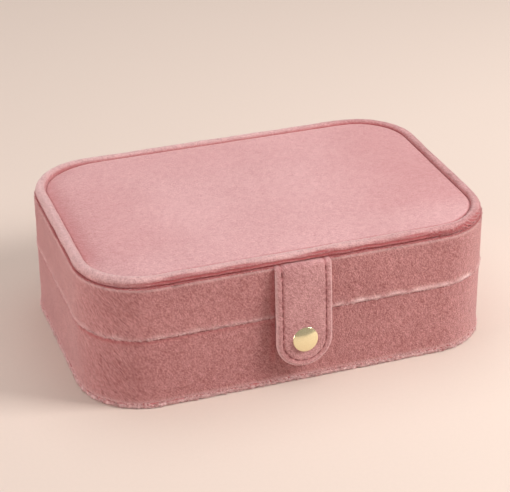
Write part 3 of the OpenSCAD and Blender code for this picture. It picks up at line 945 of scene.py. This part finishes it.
addLidPad()
addPiping()
print("padded lid made")


# snap tab
def tabPath():
    # the tab's middle line seen from the side: out from under the piping, over the edge and down
    front = -case["halfWidth"]
    lean, r, flat = tab["lean"], tab["bendRadius"], tab["under"]
    outY = front - 0.85 * mm
    topZ = case["wallTop"] - 0.15 * mm
    startY = outY + r + flat
    arc = r * (math.pi / 2 - lean)
    endZ = topZ - r + r * math.cos(math.pi / 2 - lean)
    down = (endZ - tab["tip"]) / math.cos(lean)

    def place(x, v, h):
        s1, s2 = np.clip(v, -1, flat), np.clip(v - flat, 0, arc)
        s3 = np.maximum(v - flat - arc, 0)
        angle = s2 / r
        bow = 0.35 * mm * np.sin(np.clip(s3 / down, 0, 1) * math.pi)
        y = startY - s1 - r * np.sin(angle) - s3 * math.sin(lean) - bow
        z = topZ - r * (1 - np.cos(angle)) - s3 * math.cos(lean)
        # the outer side faces up at first, then to the front
        return np.stack([x, y - h * np.sin(angle), z + h * np.cos(angle)], -1)

    return place, flat + arc + down


def tabThickness(v):
    return tab["thickAtTop"] + (tab["thick"] - tab["thickAtTop"]) * ease(v, tab["under"] + 0.5 * mm, 8 * mm)


def addTab():
    place, long = tabPath()
    half = tab["width"] / 2
    edges = [e * mm for e in (0, 0.06, 0.2, 0.42, 0.7, 1.0, 1.4, 1.9, 2.3, 2.6, 2.9, 3.4)]
    x, y, inset = roundedGrid(half, long / 2, half - 0.01 * mm, 0, edges, 0.55 * mm)
    inset = np.where(y < 0, np.minimum(half - abs(x), half), inset)
    thick = tabThickness(y + long / 2)
    body = roundEdge(inset, tab["edgeRound"]) * thick / 2
    groove = bumpAt(inset, tab["stitchIn"], 0.42 * mm)
    swell = 0.14 * mm * ease(inset, tab["stitchIn"], 7 * mm)
    top = body - 0.28 * mm * groove + swell + 0.05 * mm * ripple(x, y, 0.7 * mm, 3.0)
    top += 0.08 * mm * ripple(x, y, 6 * mm, 5.0)
    bottom = -body + 0.12 * mm * groove

    def put(px, py, h):
        return place(px + tab["middle"], py + long / 2, h)

    points, faces = cushionMesh(x, y, top, bottom, put)
    piece = makePiece("snapTab", points, faces, None, tabVelvet)
    # painted highlight along the tab's edges
    edge = 0.30 * bumpAt(inset, 0.25 * mm, 0.5 * mm) * ease(y + long / 2, 2 * mm, 5 * mm)
    mark(piece, "brushed", np.concatenate([edge.ravel(), edge.ravel()]))
    # painted shade in the stitch groove
    creaseShade = 0.35 * groove
    mark(piece, "shaded", np.concatenate([creaseShade.ravel(), 0 * creaseShade.ravel()]))
    mergePoints(piece)
    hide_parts("tab_face", "tab_backing", "tab_sewn_end")
    tabBlend(piece)
    stitches = addStitches(place, long)


def tabBlend(piece):
    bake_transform(piece)


def capsule(start, end, side, radius, sag):
    # one stitch: a short thread that dips into the cloth at both ends
    rings, around = 7, 8
    along = end - start
    up = side
    across = along.cross(up).normalized()
    points = []
    for i in range(rings):
        t = i / (rings - 1)
        r = radius * math.sqrt(max(0.06, 1 - abs(2 * t - 1) ** 3))
        centre = start + along * t + up * (sag * (1 - (2 * t - 1) ** 2) - sag * 0.4)
        for k in range(around):
            angle = 2 * math.pi * k / around
            points.append(centre + across * (r * math.cos(angle)) + up * (r * math.sin(angle)))
    return points, tubeFaces(rings, around, flip=True)


def addStitches(place, long):
    half = tab["width"] / 2
    bend = half - tab["stitchIn"]
    straight = long - half
    whole = 2 * straight + math.pi * bend
    count = int(whole / tab["stitchPitch"])

    def at(s):
        # down one side, round the tip and up the other
        if s < straight:
            spot = (-bend, s)
        elif s < straight + math.pi * bend:
            angle = (s - straight) / bend
            spot = (-bend * math.cos(angle), straight + bend * math.sin(angle))
        else:
            spot = (bend, whole - s)
        x, v = np.array([spot[0] + tab["middle"]]), np.array([spot[1]])
        face = tabThickness(v) / 2 - 0.18 * mm
        p, q = place(x, v, face)[0], place(x, v, face + mm)[0]
        return Vector(p), (Vector(q) - Vector(p)).normalized()

    points, faces = [], []
    first = tab["under"] + 2.2 * mm
    for k in range(count):
        s = (k + 0.5) * whole / count
        if min(s, whole - s) < first:
            continue
        start, up = at(s - tab["stitchLong"] / 2)
        end, up = at(s + tab["stitchLong"] / 2)
        made, shell = capsule(start, end, up, tab["threadRadius"], 0.10 * mm)
        faces += [[i + len(points) for i in face] for face in shell]
        points += made
    piece = makePiece("tabStitching", [tuple(p) for p in points], faces, None, thread)
    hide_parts("tab_stitching")
    tabBlend(piece)
    return piece


addTab()
print("snap tab made")


# snap fastener
def lathe(name, profile, centre, axis, body, finish, around=64):
    # turns a profile of (radius, height) points about an axis; it starts and ends on the axis
    turn = Vector((0, 0, 1)).rotation_difference(Vector(axis)).to_matrix()
    points, faces = [], []
    for r, h in profile:
        for k in range(around):
            angle = 2 * math.pi * k / around
            spot = Vector((r * math.cos(angle), r * math.sin(angle), h))
            points.append(tuple(Vector(centre) + turn @ spot))
    faces = gridFaces(len(profile), around, False, True)
    piece = makePiece(name, points, faces, None, finish)
    mergePoints(piece)
    if body:
        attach(piece, body)
    return piece


def addCap():
    # the cap sits on the tab's face and leans with it
    place, long = tabPath()
    lean = tab["lean"]
    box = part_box("snap_cap")
    z = (box[0].z + box[1].z) / 2
    line = place(np.full(400, tab["middle"]), np.linspace(0, long, 400), np.full(400, tab["thick"] / 2))
    spot = Vector(line[np.argmin(abs(line[:, 2] - z))])
    lean += snap["lean"]
    axis = Vector((0, -math.cos(lean), math.sin(lean)))
    radius = (box[1].x - box[0].x) / 2
    rim, dome = snap["rim"], snap["dome"]
    profile = [(0.0, rim * 0.2), (radius * 0.90, rim * 0.2)]
    for k in range(9):
        angle = -math.pi / 2 + math.pi * k / 8 * 0.92
        profile.append((radius - rim + rim * math.cos(angle), rim + rim * math.sin(angle)))
    edge = profile[-1]
    for k in range(1, 21):
        t = k / 20
        r = edge[0] * (1 - t)
        profile.append((r, edge[1] + (dome - rim) * (1 - (r / edge[0]) ** 2)))
    piece = lathe("snapCap", profile, spot, axis, "tab", paleGold, 128)
    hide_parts("snap_cap")


def addStud():
    # a pressed plate with a neck and a rounded head that the tab's socket closes over
    a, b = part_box("snap_stud")
    plate = (b.x - a.x) / 2
    head, rim = plate * 0.44, snap["studRim"]
    face = -case["halfWidth"] + snap["seat"] - 0.3 * mm
    tall = face - a.y
    profile = [(0.0, -0.1 * mm), (plate - rim, -0.1 * mm)]
    for k in range(8):
        turn = -math.pi / 2 + math.pi * k / 7
        profile.append((plate - rim + rim * math.cos(turn), rim * 0.6 + rim * 0.8 * math.sin(turn)))
    profile += [(plate * 0.80, rim * 0.9), (plate * 0.62, rim * 0.5)]
    profile += [(head * 1.12, rim * 0.55), (head * 0.92, rim), (head * 0.86, tall * 0.5)]
    profile += [(head * 0.97, tall * 0.68), (head, tall * 0.8), (head * 0.93, tall * 0.93)]
    profile += [(head * 0.75, tall), (head * 0.4, tall), (head * 0.3, tall * 0.9), (0.0, tall * 0.86)]
    centre = ((a.x + b.x) / 2, face, (a.z + b.z) / 2)
    piece = lathe("snapStud", profile, centre, (0, -1, 0), "base", paleGold, 72)
    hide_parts("snap_stud")


addCap()
addStud()
print("snap made")


# hinge cloth
hinge = {"bend": 3.2 * mm, "stitchIn": 1.7 * mm, "slack": 0.55 * mm}


def hingeBlend(piece):
    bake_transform(piece)


def hingeGrid(node, step):
    a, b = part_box(node)
    edges = [e * mm for e in (0, 0.05, 0.15, 0.35, 0.7, 1.2, 1.7, 2.2, 3.0)]
    x, y, inset = roundedGrid((b.x - a.x) / 2, (b.z - a.z) / 2, 0, 0, edges, step)
    return x, y, inset, (a + b) / 2, b - a


def addHingeStrip():
    x, y, inset, middle, size = hingeGrid("hinge_strip", 0.7 * mm)
    thick = size.y
    face = roundEdge(inset, 0.5 * mm) * thick - 0.22 * mm * bumpAt(inset, hinge["stitchIn"], 0.4 * mm)
    face += 0.05 * mm * ripple(x, y, 0.8 * mm, 2.0) + 0.10 * mm * ripple(x, y * 2, 9 * mm, 6.0)
    face -= 0.22 * mm * bumpAt(y, 0, 0.5 * mm)

    def put(px, py, h):
        return np.stack([-px, middle.y - size.y / 2 + h, py + middle.z], -1)

    points, faces = cushionMesh(x, y, face, np.zeros_like(face), put)
    piece = makePiece("hingeStrip", points, faces, None, wallVelvet)
    # painted highlight along the strip's edges; painted shade in its stitch grooves and along its middle fold
    edge = 0.5 * bumpAt(inset, 0.2 * mm, 0.45 * mm)
    creaseShade = 0.35 * bumpAt(inset, hinge["stitchIn"], 0.4 * mm) + 0.3 * bumpAt(y, 0, 0.6 * mm)
    mark(piece, "brushed", np.concatenate([edge.ravel(), edge.ravel()]))
    mark(piece, "shaded", np.concatenate([creaseShade.ravel(), creaseShade.ravel()]))
    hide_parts("hinge_strip")
    hingeBlend(piece)
    stitches = addHingeStitches(middle, size)


def addHingeStitches(middle, size):
    # two rows of stitches, one in the base and one in the lid
    points, faces = [], []
    half = size.x / 2 - hinge["stitchIn"]
    count = int(2 * half / (3.2 * mm))
    for row in (-1, 1):
        z = middle.z + row * (size.z / 2 - hinge["stitchIn"])
        for k in range(count):
            x = -half + (k + 0.5) * 2 * half / count
            start = Vector((x - 1.2 * mm, middle.y + size.y / 2 - 0.2 * mm, z))
            end = start + Vector((2.4 * mm, 0, 0))
            made, shell = capsule(start, end, Vector((0, 1, 0)), 0.2 * mm, 0.1 * mm)
            faces += [[i + len(points) for i in face] for face in shell]
            points += made
    piece = makePiece("hingeStitching", [tuple(p) for p in points], faces, None, thread)
    hingeBlend(piece)
    return piece


def addHingeLining():
    x, y, inset, middle, size = hingeGrid("hinge_lining", 0.8 * mm)
    thick = size.y
    face = roundEdge(inset, 0.5 * mm) * thick * 0.8 - 0.15 * mm * bumpAt(inset, hinge["stitchIn"], 0.4 * mm)
    face += hinge["slack"] * bumpAt(y, 0, 2.0 * mm) * (1 + 0.5 * ripple(x, y * 0.2, 14 * mm, 3.0))
    face += 0.06 * mm * ripple(x, y * 2.5, 8 * mm, 8.0)

    def put(px, py, h):
        return np.stack([px, middle.y + size.y / 2 - h, py + middle.z], -1)

    points, faces = cushionMesh(x, y, face, np.zeros_like(face), put)
    piece = makePiece("hingeLining", points, faces, None, lining)
    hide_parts("hinge_lining")
    hingeBlend(piece)


# linings, floor and trays
def roundedBlock(a, b, r, step):
    # a box with rounded edges and corners, closely gridded so that it can be puffed and dented
    middle, half = (Vector(a) + Vector(b)) / 2, (Vector(b) - Vector(a)) / 2
    r = min(r, *half)
    edges = [0, 0.15 * r, 0.35 * r, 0.6 * r, r]
    points, faces = [], []
    for axis in range(3):
        u, v = (axis + 1) % 3, (axis + 2) % 3
        us, vs = (gridSteps(half[k], edges, step) for k in (u, v))
        for sign in (-1, 1):
            gu, gv = np.meshgrid(us, vs)
            p = np.empty((*gu.shape, 3))
            p[..., u], p[..., v], p[..., axis] = gu, gv, sign * half[axis]
            faces += gridFaces(len(vs), len(us), first=len(points), flip=sign < 0)
            points += p.reshape(-1, 3).tolist()
    points = np.array(points)
    core = np.array([h - r for h in half])
    inner = np.clip(points, -core, core)
    away = points - inner
    length = np.linalg.norm(away, axis=1, keepdims=True)
    return inner + away / np.maximum(length, 1e-9) * r + np.array(middle), faces


def addBlock(name, node, r, step, finish, body, puff=0.0):
    a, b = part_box(node)
    points, faces = roundedBlock(a, b, r, step)
    middle, half = np.array((a + b) / 2), np.array((b - a) / 2)
    if puff:
        # the longest sides swell a little, as cloth glued over wadding does
        q = (points - middle) / half
        flat = int(np.argmin(half))
        others = [k for k in range(3) if k != flat]
        swell = puff * (1 - q[:, others[0]] ** 4) * (1 - q[:, others[1]] ** 4)
        points[:, flat] += np.sign(q[:, flat]) * swell
    piece = makePiece(name, points, faces, None, finish)
    mergePoints(piece, 0.02 * mm)
    roughen(piece, 0.05 * mm, 1.6 * mm, len(name))
    roughen(piece, 0.08 * mm, 9 * mm, len(name) + 3.0)
    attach(piece, body)
    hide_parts(node)
    return piece


def addWallLining(name, node, body, bottom, top, rimAtTop, hingeLow, hingeHigh):
    outer, inner = 2.95 * mm, case["halfLength"] - 78.5 * mm
    roll = 0.5 * mm
    if rimAtTop:
        stops = [(outer, bottom, 0), (outer, top, roll), (inner, top, roll), (inner, bottom, 0)]
    else:
        stops = [(outer, bottom, roll), (outer, top, 0), (inner, top, 0), (inner, bottom, roll)]

    def step(p, q):
        return 1.0 * mm if min(p.x, q.x) > 3.4 * mm else 4 * mm

    points, faces = sweepRound(bentLine(stops, step, 4), 620)
    x, y, z = points.T
    behindHinge = (y > 50 * mm) & (abs(x) < high("hinge_lining").x + 0.1 * mm)
    behindHinge &= (z > hingeLow) & (z < hingeHigh)
    y[behindHinge] = np.maximum(y[behindHinge], high("hinge_lining").y + 0.03 * mm)
    piece = makePiece(name, points, faces, None, lining)
    roughen(piece, 0.10 * mm, 11 * mm, 4.0)
    roughen(piece, 0.04 * mm, 1.8 * mm, 6.0)
    piece.data.flip_normals()
    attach(piece, body)
    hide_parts(node)
    a, b, r = case["halfLength"] - inner, case["halfWidth"] - inner, case["cornerRadius"] - inner


def addFloorPad():
    a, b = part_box("floor_pad")
    r = case["cornerRadius"] - (case["halfLength"] - b.x)
    edges = [e * mm for e in (0, 0.1, 0.3, 0.6, 1.0, 1.6, 2.6)]
    x, y, inset = roundedGrid(b.x, b.y, r, r, edges, 1.8 * mm)
    thick = b.z - a.z
    top = thick * (0.72 + 0.28 * roundEdge(inset, 1.6 * mm)) * roundEdge(inset + 0.2 * mm, 0.8 * mm)
    waves = 0.10 * mm * ripple(x, y, 14 * mm, 2.0) * ease(inset, 0, 4 * mm)
    top += waves + 0.03 * mm * ripple(x, y, 2 * mm, 5.0)
    points, faces = cushionMesh(x, y, top, np.zeros_like(top), flatPlace((0, 0, a.z)))
    piece = makePiece("floorPad", points, faces, "base", lining)
    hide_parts("floor_pad")


ringRoll = {"around": 56, "ends": 2.4 * mm, "step": 0.9 * mm, "pucker": 0.16 * mm, "sag": 0.35 * mm}


def addRingRoll(k):
    node = f"ring_roll_{k}"
    a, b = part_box(node)
    middle, radius, half = (a + b) / 2, (b.z - a.z) / 2, (b.x - a.x) / 2
    t = ringRoll
    edges = [0, 0.1 * mm, 0.3 * mm, 0.7 * mm, 1.2 * mm, 1.8 * mm, t["ends"]]
    xs = gridSteps(half, edges, t["step"])
    inset = half - abs(xs)
    dice = np.random.RandomState(40 + k)
    phase = dice.uniform(0, 6.28, 4)
    ring = 2 * math.pi * np.arange(t["around"]) / t["around"]
    x, angle = np.meshgrid(xs, ring, indexing="ij")
    near = np.repeat(inset[:, None], t["around"], 1)
    girth = radius - 1.1 * mm * (1 - roundEdge(near, t["ends"]))
    girth = girth - 0.12 * mm * np.cos(x / half * math.pi / 2 * 0.9)
    # folds fan out from the tucked ends and die away along the roll
    folds = np.sin(11 * angle + phase[0] + 1.2 * np.sin(3 * angle + phase[1])) * np.exp(-near / (3.2 * mm))
    girth += t["pucker"] * folds + 0.10 * mm * np.sin(2 * angle + phase[2]) * np.cos(x / (13 * mm) + phase[3])
    over = np.cos(angle)                     # 1 at the top
    y = middle.y + girth * np.sin(angle) * (1 - 0.012 * (1 + over))
    z = middle.z + girth * over * np.where(over < 0, 0.985, 1.0)
    points = np.stack([x + middle.x, y, z], -1).reshape(-1, 3)
    faces = tubeFaces(len(xs), t["around"], flip=True)
    piece = makePiece(f"ringRoll{k}", points, faces, None, lining)
    roughen(piece, 0.05 * mm, 1.5 * mm, 3.0 + k)
    roughen(piece, 0.12 * mm, 7 * mm, 9.0 + k)
    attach(piece, "base")
    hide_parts(node)


paddedWalls = (
    # piece, node, body, step between points
    ("leftPartition", "ring_partition_left", "base", 1.6 * mm),
    ("rightPartition", "ring_partition_right", "base", 1.6 * mm),
    ("leftDivider", "divider_left", "divider_left", 1.4 * mm),
    ("rightDivider", "divider_right", "divider_right", 1.4 * mm),
)


def addRingSection():
    count = len([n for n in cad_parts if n.startswith("ring_roll_")])
    addBlock("ringBed", "ring_bed", 0.6 * mm, 3 * mm, foam, "base")
    for k in range(1, count + 1):
        addRingRoll(k)
    for name, node, body, step in paddedWalls:
        piece = addBlock(name, node, 1.15 * mm, step, lining, body, 0.12 * mm)


# inside the lid
def addLidPanel():
    a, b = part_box("lid_panel")
    r = case["cornerRadius"] - (case["halfLength"] - b.x)
    edges = [e * mm for e in (0, 0.1, 0.3, 0.6, 1.0, 1.5, 2.2, 3.2)]
    x, y, inset = roundedGrid(b.x, b.y, r, r, edges, 1.8 * mm)
    thick = b.z - a.z
    drop = thick * (0.55 + 0.45 * roundEdge(inset, 2.4 * mm)) * roundEdge(inset + 0.2 * mm, 0.8 * mm)
    drop += 0.08 * mm * ripple(x, y, 16 * mm, 2.0) + 0.03 * mm * ripple(x, y, 2 * mm, 5.0)

    def put(px, py, h):
        return np.stack([px, py, b.z - h], -1)

    points, faces = cushionMesh(-x, y, drop, np.zeros_like(drop), put)
    piece = makePiece("lidPanel", points, faces, "lid", lining)
    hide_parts("lid_panel")


pouch = {"gathers": 0.55 * mm, "sag": 1.3 * mm, "cloth": 0.8 * mm, "fullness": 1.18}


def gatherWave(x, seed=0.0):
    # uneven gathers, as a rubber cord pulls them up
    slow, quick = np.sin(x / (9.7 * mm) + seed), np.sin(x / (3.9 * mm) + 2 * seed)
    return np.sin(x / (0.92 * mm) + 2.4 * slow + 1.1 * quick)


def addPouch():
    a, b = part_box("pouch")
    halfX, halfY = (b.x - a.x) / 2, (b.y - a.y) / 2
    middle = (a + b) / 2
    r = case["cornerRadius"] - (case["halfLength"] - b.x)
    edges = [e * mm for e in (0, 0.2, 0.6, 1.2, 2.0, 3.0, 4.2)]
    x, y, inset = roundedGrid(halfX, halfY, r, 0, edges, 0.55 * mm)
    fromMouth = y + halfY
    sewn = np.minimum(np.minimum(halfX - abs(x), halfY - y), np.where(y > 0, inset, 1))
    across = np.sin(math.pi / 2 * np.clip(sewn / (20 * mm), 0, 1))
    deep = np.sin(np.clip(fromMouth / (2 * halfY), 0, 1) * math.pi) ** 0.6
    hang = 0.6 * mm + (b.z - a.z - 0.6 * mm) * roundEdge(sewn, 4 * mm) + pouch["sag"] * across * deep
    fold = gatherWave(x + 0.10 * fromMouth * np.sin(x / (17 * mm)))
    hang += pouch["gathers"] * fold * np.exp(-fromMouth / (9 * mm)) * ease(sewn, 0, 3 * mm)
    creases = ripple(x, y * 0.25, 6 * mm, 4.0) * np.exp(-fromMouth / (22 * mm))
    hang += 0.45 * mm * creases * ease(sewn, 0, 5 * mm)
    hang += 0.16 * mm * ripple(x, y, 9 * mm, 7.0)
    seam = 0.25 * mm * bumpAt(sewn, 2.2 * mm, 0.5 * mm)

    def put(px, py, h):
        return np.stack([-px + middle.x, py + middle.y, b.z + 0.05 * mm - h], -1)

    points, faces = cushionMesh(x, y, hang - seam, np.maximum(hang - pouch["cloth"], 0.0), put)
    piece = makePiece("pouchCloth", points, faces, "lid", pouchCloth)
    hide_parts("pouch")


def addPouchElastic():
    # the cord's channel along the pouch's mouth, drawn up into small ruffles
    a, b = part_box("pouch_elastic")
    middle, radius, half = (a + b) / 2, (b.z - a.z) / 2, (b.x - a.x) / 2
    around = 22
    xs = gridSteps(half, [0, 0.2 * mm, 0.6 * mm, 1.2 * mm], 0.3 * mm)
    ring = 2 * math.pi * np.arange(around) / around
    x, angle = np.meshgrid(xs, ring, indexing="ij")
    near = np.repeat((half - abs(xs))[:, None], around, 1)
    girth = radius * (1 + 0.20 * gatherWave(x, 0.0) + 0.08 * gatherWave(x * 1.7, 2.0))
    girth = girth * (0.35 + 0.65 * roundEdge(near, 1.2 * mm))
    # a narrow frill stands up beyond the cord on the mouth's side
    frill = np.clip(np.cos(angle - math.pi), 0, 1) ** 6
    girth += frill * radius * (0.9 + 0.35 * gatherWave(x, 1.0)) * ease(near, 0, 3 * mm)
    y = middle.y + girth * np.cos(angle) + frill * 0.3 * mm * gatherWave(x, 3.0)
    z = middle.z + girth * np.sin(angle) * 0.9 - 0.15 * mm
    points = np.stack([x, y, z], -1).reshape(-1, 3)
    faces = tubeFaces(len(xs), around)
    piece = makePiece("pouchElastic", points, faces, "lid", pouchCloth)
    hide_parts("pouch_elastic")


strap = {"edgeRound": 0.6 * mm, "stitchIn": 1.1 * mm, "capRim": 0.25 * mm}


def addStrap(k):
    node, body = f"necklace_strap_{k}", f"necklace_strap_{k}"
    a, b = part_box(node)
    middle, half, long, thick = (a + b) / 2, (b.x - a.x) / 2, b.y - a.y, b.z - a.z
    edges = [e * mm for e in (0, 0.08, 0.2, 0.4, 0.7, 1.0, 1.3, 1.7)]
    x, y, inset = roundedGrid(half, long / 2, half - 0.01 * mm, 0, edges, 0.5 * mm)
    inset = np.where(y < 0, np.minimum(half - abs(x), (y + long / 2) * 1.0), inset)
    face = roundEdge(inset, strap["edgeRound"]) * thick / 2
    groove = 0.12 * mm * bumpAt(inset, strap["stitchIn"], 0.28 * mm)
    rough = 0.03 * mm * ripple(x, y, 1.2 * mm, 3.0 + k)

    def put(px, py, h):
        return np.stack([-px + middle.x, py + middle.y, middle.z - h], -1)

    points, faces = cushionMesh(x, y, face - groove + rough, -face, put)
    piece = makePiece(f"necklaceStrap{k}", points, faces, None, lining)
    mergePoints(piece)
    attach(piece, body)
    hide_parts(node)
    a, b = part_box(f"strap_cap_{k}")
    radius, tall, rim = (b.x - a.x) / 2, b.z - a.z, strap["capRim"]
    profile = [(0.0, 0.02 * mm), (radius * 0.9, 0.02 * mm)]
    for i in range(8):
        turn = -math.pi / 2 + math.pi * i / 7 * 0.9
        profile.append((radius - rim + rim * math.cos(turn), rim + 0.02 * mm + rim * math.sin(turn)))
    edge = profile[-1]
    for i in range(1, 13):
        r = edge[0] * (1 - i / 12)
        profile.append((r, edge[1] + (tall - edge[1]) * (1 - (r / edge[0]) ** 2)))
    button = lathe(f"strapCap{k}", profile, ((a.x + b.x) / 2, (a.y + b.y) / 2, b.z), (0, 0, -1), body,
                   paleGold, 72)
    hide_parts(f"strap_cap_{k}")
    anchor = addBlock(f"strapAnchor{k}", f"strap_anchor_{k}", 0.5 * mm, 0.5 * mm, lining, "lid")


addHingeStrip()
addWallLining("baseLining", "base_wall_lining", "base", low("floor_pad").z + 0.1 * mm,
              case["baseTop"] - 0.05 * mm, True, low("hinge_lining").z - 0.1 * mm, 1)
addWallLining("lidLining", "lid_wall_lining", "lid", case["lidBottom"] + 0.05 * mm,
              high("lid_panel").z - 0.1 * mm, False, 0, high("hinge_lining").z + 0.1 * mm)
addHingeLining()
addFloorPad()
addRingSection()
print("linings, floor and trays made")
addLidPanel()
addPouch()
addPouchElastic()
for k in range(1, 4):
    addStrap(k)
print("inside of the lid made")


# parts kept as they are
kept = {
    paleGold: ("stud_rivet", "snap_socket", "strap_studs"),
    board: ("bottom_board", "base_wall_board", "lid_wall_board", "lid_top_board"),
}
for finish, nodes in kept.items():
    for node in nodes:
        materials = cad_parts[node].data.materials
        materials.clear()
        materials.append(finish)
